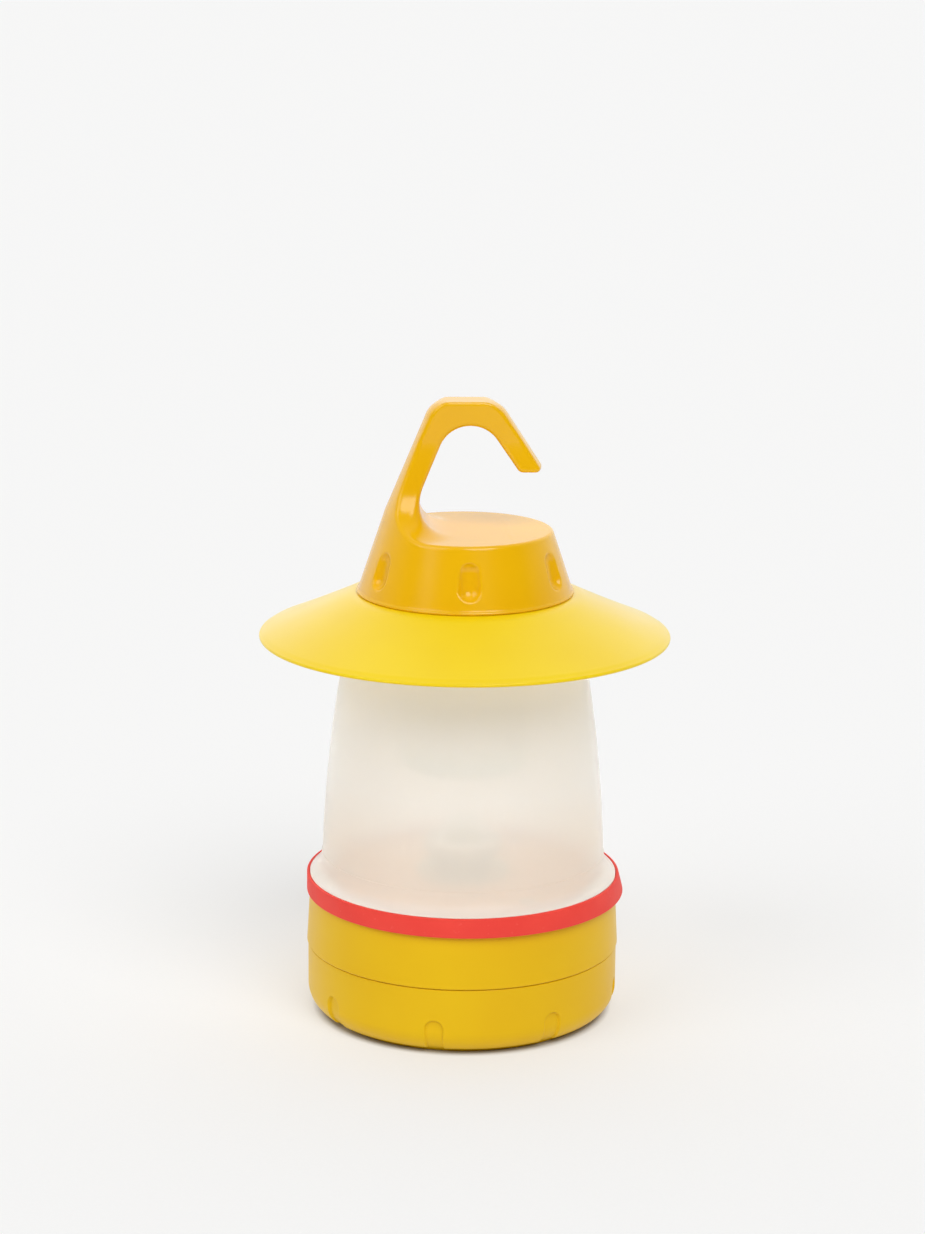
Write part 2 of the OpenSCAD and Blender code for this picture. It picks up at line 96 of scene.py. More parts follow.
def lathe(name, outline, angles, radius_at=None, shift=0.0):
    """A closed outline of (radius, height) points in mm, turned about Z through the given angles in degrees.

    radius_at(angle, radius, height) may move each ring's points. shift moves low points to +X, in mm.
    """
    ring = np.array(outline, float)
    turn = np.radians(np.asarray(angles, float))[:, None]
    r = np.broadcast_to(ring[None, :, 0], (len(angles), len(ring))).copy()
    z = np.broadcast_to(ring[None, :, 1], r.shape).copy()
    if radius_at is not None:
        r = radius_at(np.asarray(angles, float)[:, None], r, z)
    lean = shift * (z.max() - z) / max(float(np.ptp(z)), 1e-9)
    verts = np.stack([r * np.cos(turn) + lean, r * np.sin(turn), z], -1).reshape(-1, 3) * MM
    n, m = r.shape
    i, j = np.meshgrid(np.arange(n), np.arange(m), indexing="ij")
    k, l = (i + 1) % n, (j + 1) % m
    faces = np.stack([i * m + j, k * m + j, k * m + l, i * m + l], -1).reshape(-1, 4)
    return new_piece(name, verts, faces)


def even_angles(count):
    """Equal steps round the circle, in degrees."""
    return np.arange(count) * 360.0 / count


def joined(name, pieces):
    """One mesh of several, which it takes the place of."""
    verts, faces, smooth = [], [], []
    for piece in pieces:
        start = len(verts)
        verts += [tuple(v.co) for v in piece.data.vertices]
        faces += [[start + i for i in face.vertices] for face in piece.data.polygons]
        smooth += [face.use_smooth for face in piece.data.polygons]
        bpy.data.objects.remove(piece)
    whole = new_piece(name, verts, faces)
    whole.data.polygons.foreach_set("use_smooth", smooth)
    return whole


# ---------- solids from distance functions ----------

def capsule(p, a, b, r):
    """Signed distance from points to a rod with round ends."""
    t = np.clip(((p - a) @ (b - a)) / ((b - a) @ (b - a)), 0, 1)
    return np.linalg.norm(p - a - t[:, None] * (b - a), axis=1) - r


def outline_distance(x, z, corners):
    """Signed distance in mm from points to a closed polygon, negative inside."""
    best = np.full(x.shape, 1e9)
    inside = np.zeros(x.shape, bool)
    for (ax, az), (bx, bz) in zip(corners, corners[1:] + corners[:1]):
        ex, ez = bx - ax, bz - az
        wx, wz = x - ax, z - az
        t = np.clip((wx * ex + wz * ez) / (ex * ex + ez * ez), 0, 1)
        best = np.minimum(best, (wx - ex * t) ** 2 + (wz - ez * t) ** 2)
        if ez != 0:
            crosses = (az <= z) != (bz <= z)
            inside ^= crosses & (wx < ex * wz / ez)
    return np.where(inside, -1.0, 1.0) * np.sqrt(best)


def round_join(a, b, k):
    """The union of two solids with a fillet of radius k."""
    return np.maximum(k, np.minimum(a, b)) - np.hypot(np.maximum(k - a, 0), np.maximum(k - b, 0))


def round_cut(a, b, k):
    """The overlap of two solids with its edge rounded to radius k."""
    return -round_join(-a, -b, k)


def sampled(solid, axes):
    """The solid's distance at every point of a grid, worked out one slice of x at a time."""
    field = np.empty([len(a) for a in axes], np.float32)
    yz = np.stack(np.meshgrid(axes[1], axes[2], indexing="ij"), -1).reshape(-1, 2)
    for i, x in enumerate(axes[0]):
        points = np.column_stack([np.full(len(yz), x), yz])
        field[i] = solid(points).reshape(field.shape[1:])
    return field


def crossings(field, axis):
    """For the grid's edges along an axis: which cross the surface, how far along, and which start inside."""
    first, second = [slice(None)] * 3, [slice(None)] * 3
    first[axis], second[axis] = slice(0, -1), slice(1, None)
    a, b = field[tuple(first)], field[tuple(second)]
    hit = (a < 0) != (b < 0)
    return hit, np.where(hit, a / np.where(hit, a - b, 1), 0), a < 0


def net_points(edges, cells):
    """A point in each cell that the surface passes, at the mean of its crossings, and each cell's point number."""
    total = np.zeros(cells + (3,), np.float32)
    count = np.zeros(cells, np.int32)
    for axis, (hit, along, _) in enumerate(edges):
        u, v = [other for other in range(3) if other != axis]
        for du, dv in ((0, 0), (0, 1), (1, 0), (1, 1)):
            pick = [slice(None)] * 3
            pick[u] = slice(du, du + cells[u])
            pick[v] = slice(dv, dv + cells[v])
            here = hit[tuple(pick)]
            count += here
            total[..., axis] += np.where(here, along[tuple(pick)], 0)
            total[..., u] += here * du
            total[..., v] += here * dv
    used = count > 0
    index = np.full(cells, -1, np.int64)
    index[used] = np.arange(int(used.sum()))
    return np.argwhere(used) + total[used] / count[used][:, None], index


def net_quads(edges, index):
    """A quad round every grid edge that crosses the surface, facing out."""
    cells = index.shape
    quads = []
    for axis, (hit, _, starts_inside) in enumerate(edges):
        u, v = (axis + 1) % 3, (axis + 2) % 3
        where = np.argwhere(hit)
        keep = (where[:, u] > 0) & (where[:, v] > 0) & (where[:, u] < cells[u]) & (where[:, v] < cells[v])
        where = where[keep]
        corners = []
        for du, dv in ((1, 1), (0, 1), (0, 0), (1, 0)):
            cell = where.copy()
            cell[:, u] -= du
            cell[:, v] -= dv
            corners.append(index[tuple(cell.T)])
        quad = np.stack(corners, -1)
        quads.append(np.where(starts_inside[tuple(where.T)][:, None], quad, quad[:, ::-1]))
    return np.concatenate(quads)


def pulled(solid, points, step):
    """The points moved onto the surface along its slope, a short way at a time."""
    moves, probe, least_slope, furthest = 3, 0.02, 0.25, 0.4 * step
    for _ in range(moves):
        value = solid(points)
        slope = np.stack([(solid(points + d) - solid(points - d)) / (2 * probe) for d in np.eye(3) * probe], -1)
        size = np.maximum((slope ** 2).sum(1), least_slope)
        points = points - np.clip(value / size, -furthest, furthest)[:, None] * slope
    return points


def surface_net(name, solid, low, high, step):
    """A quad mesh of the surface where solid(points in mm) is 0."""
    axes = [np.arange(lo, hi + step, step) for lo, hi in zip(low, high)]
    cells = tuple(len(a) - 1 for a in axes)
    field = sampled(solid, axes)
    edges = [crossings(field, axis) for axis in range(3)]
    points, index = net_points(edges, cells)
    points = pulled(solid, np.array(low) + points * step, step)
    return new_piece(name, points * MM, net_quads(edges, index))


# ---------- materials ----------

def material(name, color, roughness, **sockets):
    """A new Principled material. Returns it with its node tree and shader."""
    mat = bpy.data.materials.new(name)
    mat.use_nodes = True
    shader = mat.node_tree.nodes["Principled BSDF"]
    shader.inputs["Base Color"].default_value = (*color, 1)
    shader.inputs["Roughness"].default_value = roughness
    for socket, value in sockets.items():
        shader.inputs[socket.replace("_", " ")].default_value = value
    return mat, mat.node_tree, shader


def noise(tree, scale, detail, stretch=(1, 1, 1)):
    """Noise in the piece's own space, scale in waves per metre."""
    place = tree.nodes.new("ShaderNodeTexCoord")
    mapping = tree.nodes.new("ShaderNodeMapping")
    mapping.inputs["Scale"].default_value = stretch
    texture = tree.nodes.new("ShaderNodeTexNoise")
    texture.inputs["Scale"].default_value = scale
    texture.inputs["Detail"].default_value = detail
    tree.links.new(place.outputs["Object"], mapping.inputs["Vector"])
    tree.links.new(mapping.outputs["Vector"], texture.inputs["Vector"])
    return texture.outputs["Fac"]


def remap(tree, value, low, high, out_low, out_high):
    """A value's range stretched onto another, and held at its ends."""
    node = tree.nodes.new("ShaderNodeMapRange")
    node.inputs["From Min"].default_value = low
    node.inputs["From Max"].default_value = high
    node.inputs["To Min"].default_value = out_low
    node.inputs["To Max"].default_value = out_high
    tree.links.new(value, node.inputs["Value"])
    return node.outputs["Result"]


def blend_colors(tree, fac, first, second):
    """From the first colour to the second as fac goes from 0 to 1. A colour is a triple or a socket."""
    node = tree.nodes.new("ShaderNodeMix")
    node.data_type = "RGBA"
    fac_socket, first_socket, second_socket, mixed = node.inputs[0], node.inputs[6], node.inputs[7], node.outputs[2]
    tree.links.new(fac, fac_socket)
    for socket, value in ((first_socket, first), (second_socket, second)):
        if isinstance(value, bpy.types.NodeSocket):
            tree.links.new(value, socket)
        else:
            socket.default_value = (*value, 1)
    return mixed


def place_along(tree, axis):
    """The place along an axis of the frame, in metres."""
    place = tree.nodes.new("ShaderNodeTexCoord")
    split = tree.nodes.new("ShaderNodeSeparateXYZ")
    tree.links.new(place.outputs["Object"], split.inputs["Vector"])
    return split.outputs[axis]


def bump(tree, shader, height, strength, distance):
    """A fine relief, added to any that the shader has already."""
    node = tree.nodes.new("ShaderNodeBump")
    node.inputs["Strength"].default_value = strength
    node.inputs["Distance"].default_value = distance
    tree.links.new(height, node.inputs["Height"])
    before = shader.inputs["Normal"].links
    if before:
        tree.links.new(before[0].from_socket, node.inputs["Normal"])
    tree.links.new(node.outputs["Normal"], shader.inputs["Normal"])


def moulded_plastic(name, color, deep, roughness, grain, **sockets):
    """Moulded plastic: cloudy colour, a few specks, uneven gloss, a fine grain and slow waves."""
    mat, tree, shader = material(name, color, roughness, **sockets)
    clouds = remap(tree, noise(tree, 28, 2), 0.35, 0.65, 0, 1)
    specks = remap(tree, noise(tree, 900, 2), 0.68, 0.8, 0, 0.35)
    base = blend_colors(tree, clouds, color, deep)
    tree.links.new(blend_colors(tree, specks, base, deep), shader.inputs["Base Color"])
    gloss = noise(tree, 60, 4)
    tree.links.new(remap(tree, gloss, 0.3, 0.7, roughness - 0.05, roughness + 0.06), shader.inputs["Roughness"])
    bump(tree, shader, noise(tree, 2600, 2), 0.25, grain)
    bump(tree, shader, noise(tree, 150, 1), 0.12, grain)
    return mat


def paint(name, mat):
    """Gives a piece, or a CAD node by its name, one material."""
    piece = nodes[name] if isinstance(name, str) else name
    if not piece.material_slots:
        piece.data.materials.append(mat)
    for slot in piece.material_slots:
        slot.material = mat


# ---------- the yellow hat, in mm ----------

CAP_FOOT_Z, CAP_TOP_Z = 137.3, 157.4
CAP_FOOT_R, CAP_TOP_R = 34.1, 27.4
CONE = (CAP_FOOT_R - CAP_TOP_R) / (CAP_TOP_Z - CAP_FOOT_Z)
HOOK_TOP_Z, TIP_Z = 198.4, 176.5
SEAT = (1.0, 180.8)
SEAT_R = 10.1
LUG_LEAD, LUG_HEIGHT = 24.0, 1.8
LUG_TURNS = (30, 150, 270)
CAP_YELLOW = ((0.91, 0.505, 0.0005), (0.88, 0.47, 0.0005))
BRIM_YELLOW = ((0.94, 0.68, 0.001), (0.92, 0.65, 0.001))


def cone_r(z):
    """The cap's radius at a height."""
    return CAP_FOOT_R - CONE * (z - CAP_FOOT_Z)


def scoop(p):
    """The nearest of the six finger scoops, as the tool that cuts it."""
    radius = np.hypot(p[:, 0], p[:, 1])
    turn = np.arctan2(p[:, 1], p[:, 0]) + math.pi / 2
    turn = (turn + math.pi / 6) % (math.pi / 3) - math.pi / 6
    q = np.column_stack([radius * np.sin(turn), radius * np.cos(turn), p[:, 2]])
    tool_r, depth, rise, low_z, lean = 4.1, 2.1, 5.2, CAP_FOOT_Z + 8, math.radians(12)
    low = np.array([0, cone_r(low_z) - depth + tool_r, low_z])
    high = low + rise * np.array([0, -math.sin(lean), math.cos(lean)])
    return capsule(q, low, high, tool_r)


def lug_solid(p, inner, outer, mid_z, span):
    """Three short helical lugs on the inside of a wall."""
    radius = np.hypot(p[:, 0], p[:, 1])
    apart, first = 360 / len(LUG_TURNS), LUG_TURNS[0]
    turn = (np.degrees(np.arctan2(p[:, 1], p[:, 0])) - first + apart / 2) % apart - apart / 2
    side = (np.abs(turn) - span / 2) * radius * math.pi / 180
    tall = np.abs(p[:, 2] - mid_z - LUG_LEAD * turn / 360) - LUG_HEIGHT / 2
    wide = np.maximum(inner - radius, radius - outer)
    return np.maximum(np.maximum(side, tall), wide)


def crook_outside(x, y, z):
    """The hook's outer faces: they follow the cap's cone, so they curve round the lantern's axis."""
    turned = np.clip((np.abs(x) - 2) / 8, 0, 1)
    rx = np.sign(x) * np.sqrt(x * x + turned * turned * y * y)
    arm_slope, arm_top_x, arm_corner = 0.414, 10.9, 4.3
    tip_slope, tip_top_x, tip_corner, tip_end = 0.654, 10.1, 3.8, 1.9
    arm = -(arm_top_x + arm_slope * (HOOK_TOP_Z - z)) - rx
    left = np.maximum(arm / math.hypot(1, arm_slope), (-cone_r(z) - rx) / math.hypot(1, CONE))
    right = (rx - tip_top_x - tip_slope * (HOOK_TOP_Z - z)) / math.hypot(1, tip_slope)
    top = z - HOOK_TOP_Z
    crook = np.maximum(round_cut(left, top, arm_corner), round_cut(right, top, tip_corner))
    return np.where(x > 5, round_cut(crook, TIP_Z - z, tip_end), crook)


def crook_gap(x, z):
    """The gap inside the hook: a round seat with two straight flanks, open to the right below the tip."""
    sx, sz = SEAT
    low, far, below_tip = 120.0, 60, TIP_Z - 4.5

    def flank(degrees, slope):
        tx = sx + SEAT_R * math.cos(math.radians(degrees))
        tz = sz + SEAT_R * math.sin(math.radians(degrees))
        return [(tx, tz), (tx + slope * (tz - low), low)]

    right, left = flank(35, 0.70), flank(157, -0.424)
    straight = outline_distance(x, z, [right[0], left[0], left[1], right[1]])
    beyond = outline_distance(x, z, [(0, low - 10), (far, low - 10), (far, below_tip), (0, below_tip)])
    return np.minimum(np.minimum(straight, beyond), np.hypot(x - sx, z - sz) - SEAT_R)


def cap_bore(radius, z):
    """The cap's bore over the globe's neck, with a narrowing roof."""
    bore_r, bore_top, roof_top, taper = 28.2, CAP_FOOT_Z + 10.2, CAP_FOOT_Z + 17, 5 / 7
    straight = np.maximum(radius - bore_r, z - bore_top)
    slope = (radius - bore_r + (z - CAP_FOOT_Z - 10) * taper) / 1.2
    roof = np.maximum(np.maximum(slope, z - roof_top), radius - bore_r)
    return np.minimum(straight, roof)


def hook_cap_distance(p):
    """The cap and its hook in one: a slab with the hook's outline runs down into the cap, with a wide fillet."""
    x, y, z = p.T
    radius = np.hypot(x, y)
    arm_half = 5.8 + 5.2 * np.clip((186 - z) / 28, 0, 1) ** 1.3
    slab = round_cut(np.abs(y) - arm_half, -crook_gap(x, z), 1.0)
    joined_up = round_join(z - CAP_TOP_Z, slab, 15.0)
    cone = (radius - cone_r(z)) / math.hypot(1, CONE)
    outside = np.where(z > CAP_TOP_Z + 3, crook_outside(x, y, z), cone)
    solid = round_cut(joined_up, outside, 0.8)
    bead = np.hypot(radius - CAP_FOOT_R + 0.28, z - CAP_FOOT_Z - 0.55) - 0.5
    solid = round_cut(round_join(solid, bead, 0.15), CAP_FOOT_Z + 0.05 - z, 0.1)
    solid = round_cut(solid, -scoop(p), 0.3)
    solid = np.maximum(solid, -cap_bore(radius, z))
    return np.minimum(solid, lug_solid(p, inner=26.4, outer=28.7, mid_z=139.1, span=36))


def make_hook_cap():
    margin = 1.2
    reach = CAP_FOOT_R + margin
    low, high = (-reach, -reach, CAP_FOOT_Z - 1.6), (reach, reach, HOOK_TOP_Z + margin)
    step = 0.46
    cap = surface_net("cap_with_hook", hook_cap_distance, low, high, step)
    paint(cap, moulded_plastic("cap_yellow", *CAP_YELLOW, 0.3, 0.00002, Specular_IOR_Level=0.0,
                               Coat_Weight=1.0, Coat_IOR=1.45, Coat_Roughness=0.18))
    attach(cap, "cap_body")
    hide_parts("hook_cap")


def make_brim():
    """The thin brim: a shallow cone that steepens towards the cap, with a rounded rim and a flat seat."""
    rim_r, rim_z, rim_round, sag, thick = 65.0, 123.4, 0.62, 1.3, 1.5
    seat_z, seat_r, hole_r = 135.05, 32.6, 29.3

    def side(dz, steps):
        t = np.linspace(0, 1, steps)
        return [(rim_r + (CAP_FOOT_R - rim_r) * u, rim_z + (CAP_FOOT_Z - rim_z) * u - sag * u * (1 - u) + dz)
                for u in t]

    upper = side(thick / 2 - 0.1, 25)[1:-2]
    lower = side(-thick / 2, 25)[1:-2]
    rim = arc(rim_r - rim_round, rim_z + 0.02, rim_round, -80, 90, 8)
    outline = [(hole_r, CAP_FOOT_Z), (hole_r, seat_z), (seat_r, seat_z)] + lower[::-1] + rim + upper
    outline += [(CAP_FOOT_R + 0.3, CAP_FOOT_Z - 0.02), (CAP_FOOT_R - 0.6, CAP_FOOT_Z)]
    brim = lathe("brim_disc", outline, even_angles(256))
    paint(brim, moulded_plastic("brim_yellow", *BRIM_YELLOW, 0.34, 0.00002, Specular_IOR_Level=0.1,
                                Coat_Weight=0.8, Coat_IOR=1.35, Coat_Roughness=0.3))
    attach(brim, "brim_body")
    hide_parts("brim")


# ---------- globe and what shows through it ----------

MILK = ((0.985, 0.965, 0.925), (0.975, 0.95, 0.905))
# Peach painted onto the globe's lower part: painted light from the orange deck inside.
MILK_PAINTED_DECK_LIGHT = (0.965, 0.895, 0.80)
REFLECTOR_WHITE = ((0.96, 0.955, 0.94), (0.94, 0.935, 0.92))
# Greenish grey painted as shade low on the reflector cup.
REFLECTOR_PAINTED_SHADE = (0.60, 0.68, 0.60)


def finish_globe():
    """Milky moulded plastic: half the light scatters at the wall, and half passes through it, blurred.

    Low down, up to its pale foot, its colour is painted peach: painted light from the orange deck inside.
    """
    # Painted light: the faint even emission is a painted glow, for light scattered within the milky wall.
    mat, tree, shader = material("frosted_globe", MILK[0], 0.22, IOR=1.15, Transmission_Weight=0.5,
                                 Coat_Weight=0.4, Coat_IOR=1.3, Coat_Roughness=0.35, Emission_Strength=0.07)
    shader.inputs["Emission Color"].default_value = (1, 0.97, 0.92, 1)
    bump(tree, shader, noise(tree, 1800, 3), 0.4, 0.00002)
    tree.links.new(remap(tree, noise(tree, 45, 3), 0.3, 0.7, 0.19, 0.26), shader.inputs["Roughness"])
    clouds = remap(tree, noise(tree, 22, 2), 0.3, 0.7, 0, 1)
    milk = blend_colors(tree, clouds, *MILK)
    # Painted light: between the foot and 80 mm up, the milky colour is blended to peach for the orange deck's
    # light.
    below_top = remap(tree, place_along(tree, "Z"), 0.060, 0.080, 1, 0)
    above_foot = remap(tree, place_along(tree, "Z"), 0.0462, 0.0485, 0, 1)
    painted_deck_light = tree.nodes.new("ShaderNodeMath")
    painted_deck_light.operation = "MULTIPLY"
    tree.links.new(below_top, painted_deck_light.inputs[0])
    tree.links.new(above_foot, painted_deck_light.inputs[1])
    tree.links.new(blend_colors(tree, painted_deck_light.outputs["Value"], milk, MILK_PAINTED_DECK_LIGHT), shader.inputs["Base Color"])
    paint("globe", mat)


def reflector_white():
    """White moulding, with a painted greenish-grey shade low on the cup, where its floor turns up into its wall."""
    # Painted light: the faint emission is a painted glow that lightens the cup inside the globe.
    mat, tree, shader = material("reflector_white", REFLECTOR_WHITE[0], 0.45, Emission_Strength=0.1)
    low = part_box("top_reflector")[0].z
    # Painted shade: the cup's lowest 6 to 14 mm are blended to greenish grey.
    painted_shade = remap(tree, place_along(tree, "Z"), low + 0.006, low + 0.014, 1, 0)
    uneven = remap(tree, noise(tree, 60, 2), 0.3, 0.7, 0, 1)
    white = blend_colors(tree, uneven, *REFLECTOR_WHITE)
    tree.links.new(blend_colors(tree, painted_shade, white, REFLECTOR_PAINTED_SHADE), shader.inputs["Base Color"])
    bump(tree, shader, noise(tree, 1500, 2), 0.2, 0.00001)
    return mat


def finish_insides():
    """Paints the plain mouldings inside, each by its colour, deeper colour and roughness."""
    plain = {
        "deck_reflector": ((0.95, 0.50, 0.22), (0.92, 0.45, 0.19), 0.40),
        "battery_tray": ((0.045, 0.045, 0.05), (0.03, 0.03, 0.033), 0.50),
        "driver_chips": ((0.02, 0.02, 0.022), (0.03, 0.03, 0.03), 0.45),
        "switch_body": ((0.02, 0.02, 0.02), (0.03, 0.03, 0.03), 0.42),
        "switch_plunger": ((0.72, 0.66, 0.50), (0.66, 0.60, 0.44), 0.40),
        "wires_red": ((0.55, 0.02, 0.015), (0.45, 0.015, 0.01), 0.35),
        "wires_black": ((0.015, 0.015, 0.015), (0.03, 0.03, 0.03), 0.35),
        "wires_switch": ((0.75, 0.73, 0.68), (0.68, 0.66, 0.60), 0.35),
        "led_board": ((0.80, 0.80, 0.77), (0.74, 0.74, 0.70), 0.40),
        "led_chips": ((0.80, 0.66, 0.16), (0.74, 0.60, 0.12), 0.40),
    }
    for name, (color, deep, roughness) in plain.items():
        paint(name, moulded_plastic(name + "_plastic", color, deep, roughness, 0.00001))
    paint("top_reflector", reflector_white())


def rubber(name, color, deep):
    """Soft, matt rubber with a little dust on it."""
    mat, tree, shader = material(name, color, 0.62, Specular_IOR_Level=0.35)
    clouds = remap(tree, noise(tree, 70, 3), 0.35, 0.7, 0, 1)
    dust = remap(tree, noise(tree, 520, 2), 0.66, 0.76, 0, 0.35)
    base = blend_colors(tree, clouds, color, deep)
    tree.links.new(blend_colors(tree, dust, base, tuple(min(1, c * 1.3 + 0.05) for c in color)),
                   shader.inputs["Base Color"])
    bump(tree, shader, noise(tree, 1500, 3), 0.35, 0.00004)
    tree.links.new(remap(tree, noise(tree, 90, 3), 0.3, 0.7, 0.56, 0.7), shader.inputs["Roughness"])
    return mat


def metal(name, color, roughness, stretch=(1, 1, 12)):
    """Bare metal, brushed across the stretched axis, with a little tarnish."""
    mat, tree, shader = material(name, color, roughness, Metallic=1.0)
    brushed = noise(tree, 300, 3, stretch=stretch)
    tree.links.new(remap(tree, brushed, 0.3, 0.7, roughness - 0.08, roughness + 0.1), shader.inputs["Roughness"])
    tarnish = remap(tree, noise(tree, 120, 3), 0.4, 0.75, 0, 1)
    tree.links.new(blend_colors(tree, tarnish, color, tuple(c * 0.8 for c in color)), shader.inputs["Base Color"])
    bump(tree, shader, brushed, 0.15, 0.00001)
    return mat


def finish_metals():
    zinc = metal("zinc_plate", (0.62, 0.62, 0.60), 0.34)
    for name in ("deck_screws", "sink_screws", "led_screws", "board_screws", "tray_screws"):
        paint(name, zinc)
    nickel = metal("nickel_plate", (0.70, 0.67, 0.60), 0.24)
    paint("contact_plates", nickel)
    paint("contact_springs", nickel)
    paint("heat_sink", metal("cast_aluminium", (0.40, 0.47, 0.42), 0.42, (1, 1, 1)))


def circuit_board(name):
    """Green solder mask with faint copper tracks under it."""
    mat, tree, shader = material(name, (0.02, 0.16, 0.06), 0.30, Coat_Weight=0.3)
    place = tree.nodes.new("ShaderNodeTexCoord")
    tracks = tree.nodes.new("ShaderNodeTexBrick")
    tracks.inputs["Scale"].default_value = 320
    tracks.inputs["Mortar Size"].default_value = 0.06
    tracks.inputs["Color1"].default_value = (0.02, 0.16, 0.06, 1)
    tracks.inputs["Color2"].default_value = (0.025, 0.18, 0.07, 1)
    tracks.inputs["Mortar"].default_value = (0.05, 0.27, 0.10, 1)
    tree.links.new(place.outputs["Object"], tracks.inputs["Vector"])
    tree.links.new(tracks.outputs["Color"], shader.inputs["Base Color"])
    bump(tree, shader, noise(tree, 700, 2), 0.15, 0.00001)
    return mat


def cell_sleeve(name, end_sign):
    """A dark blue sleeve with a pale band at the positive end and a bare steel tip."""
    mat, tree, shader = material(name, (0.03, 0.05, 0.14), 0.30, Coat_Weight=0.3)
    low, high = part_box(name)
    along = place_along(tree, "X")
    positive = high.x if end_sign > 0 else low.x
    band = remap(tree, along, positive - end_sign * 0.0125, positive - end_sign * 0.0123, 0, 1)
    tip = remap(tree, along, positive - end_sign * 0.0018, positive - end_sign * 0.0016, 0, 1)
    speckle = remap(tree, noise(tree, 160, 3), 0.4, 0.7, 0, 1)
    sleeve = blend_colors(tree, speckle, (0.03, 0.05, 0.14), (0.045, 0.07, 0.17))
    banded = blend_colors(tree, band, sleeve, (0.55, 0.56, 0.56))
    tree.links.new(blend_colors(tree, tip, banded, (0.66, 0.65, 0.62)), shader.inputs["Base Color"])
    tree.links.new(tip, shader.inputs["Metallic"])
    bump(tree, shader, noise(tree, 500, 2), 0.1, 0.00001)
    return mat


def finish_electrics():
    paint("driver_board", circuit_board("solder_mask_driver"))
    paint("switch_board", circuit_board("solder_mask_switch"))
    for name, sign in (("cell_1", 1), ("cell_2", -1), ("cell_3", 1)):
        paint(name, cell_sleeve(name, sign))
    mat, tree, shader = material("clear_lens", (0.95, 0.97, 0.95), 0.12, IOR=1.45, Transmission_Weight=0.92)
    bump(tree, shader, noise(tree, 300, 2), 0.1, 0.00001)
    tree.links.new(remap(tree, noise(tree, 80, 2), 0.3, 0.7, 0.08, 0.18), shader.inputs["Roughness"])
    paint("led_lens", mat)


# ---------- band, base and cover ----------

BAND_RED = ((0.94, 0.064, 0.044), (0.89, 0.052, 0.038))
BASE_YELLOW = ((0.86, 0.535, 0.002), (0.835, 0.50, 0.002))
SEAL_GREY = ((0.025, 0.025, 0.025), (0.04, 0.04, 0.04))
NOTCH_TURNS = -102.5 + 45 * np.arange(8)


def make_band():
    """The soft band: flush at its top edge, and standing a little proud at its lower edge on the +X side."""
    low_z, high_z, inner_r, corner = 39.35, 45.35, 49.3, 0.3
    outline = [(inner_r, low_z + 0.2)] + arc(50.55, low_z + corner, corner, -90, 0, 4)
    outline += arc(49.85, high_z - corner, corner, 0, 90, 4) + [(inner_r, high_z)]
    band = lathe("band_ring", outline, even_angles(240), shift=0.75)
    paint(band, rubber("red_silicone", *BAND_RED))
    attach(band, "lantern_body")
    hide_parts("silicone_band")


def base_yellow(name):
    return moulded_plastic(name, *BASE_YELLOW, 0.42, 0.000025, Specular_IOR_Level=0.1,
                           Coat_Weight=0.35, Coat_IOR=1.35, Coat_Roughness=0.3)


def notch_depth(turn, z):
    """How deep the grip notches are at an angle and height: an arched window with soft edges."""
    half_width, top_z, depth, edge = 2.8, 8.9, 0.8, 0.35
    away = (turn - NOTCH_TURNS[0] + 22.5) % 45 - 22.5
    across = np.abs(away) * math.pi / 180 * 49.4
    inside = np.where(z > top_z, np.hypot(across, z - top_z), across) - half_width
    return depth * np.clip(0.5 - inside / edge, 0, 1)


def screw_lug(inner, outer, turn, mid_z, span):
    """A short helical lug round Z at a wall's inner side; lengths in mm, angles in degrees."""
    steps, lean = 14, 0.3
    verts = []
    for angle in np.linspace(-span / 2, span / 2, steps + 1):
        rise = mid_z + LUG_LEAD * angle / 360
        direction = math.radians(turn + angle)
        for r, half in ((inner, LUG_HEIGHT / 2 - lean), (outer, LUG_HEIGHT / 2)):
            for z in (rise - half, rise + half):
                verts.append((r * math.cos(direction) * MM, r * math.sin(direction) * MM, z * MM))
    faces = [(0, 2, 3, 1), (4 * steps, 4 * steps + 1, 4 * steps + 3, 4 * steps + 2)]
    for i in range(0, 4 * steps, 4):
        for a, b in ((0, 1), (1, 3), (3, 2), (2, 0)):
            faces.append((i + a, i + b, i + 4 + b, i + 4 + a))
    return new_piece("lug", verts, faces, False)


def floor_ribs():
    """Six radial ribs and a ring that stiffen the cover's floor."""
    low, high, half = 3.5, 6.8, 0.8
    ribs = [lathe("ring_rib", [(13.2, low), (14.8, low), (14.8, high), (13.2, high)], even_angles(96))]
    for turn in np.radians(np.arange(0, 360, 60)):
        verts = [(x * math.cos(turn) - y * math.sin(turn), x * math.sin(turn) + y * math.cos(turn), z)
                 for x in (14, 39) for y in (-half, half) for z in (low, high)]
        faces = [(0, 1, 3, 2), (4, 6, 7, 5), (0, 4, 5, 1), (2, 3, 7, 6), (0, 2, 6, 4), (1, 5, 7, 3)]
        ribs.append(new_piece("rib", np.array(verts) * MM, faces, False))
    return ribs


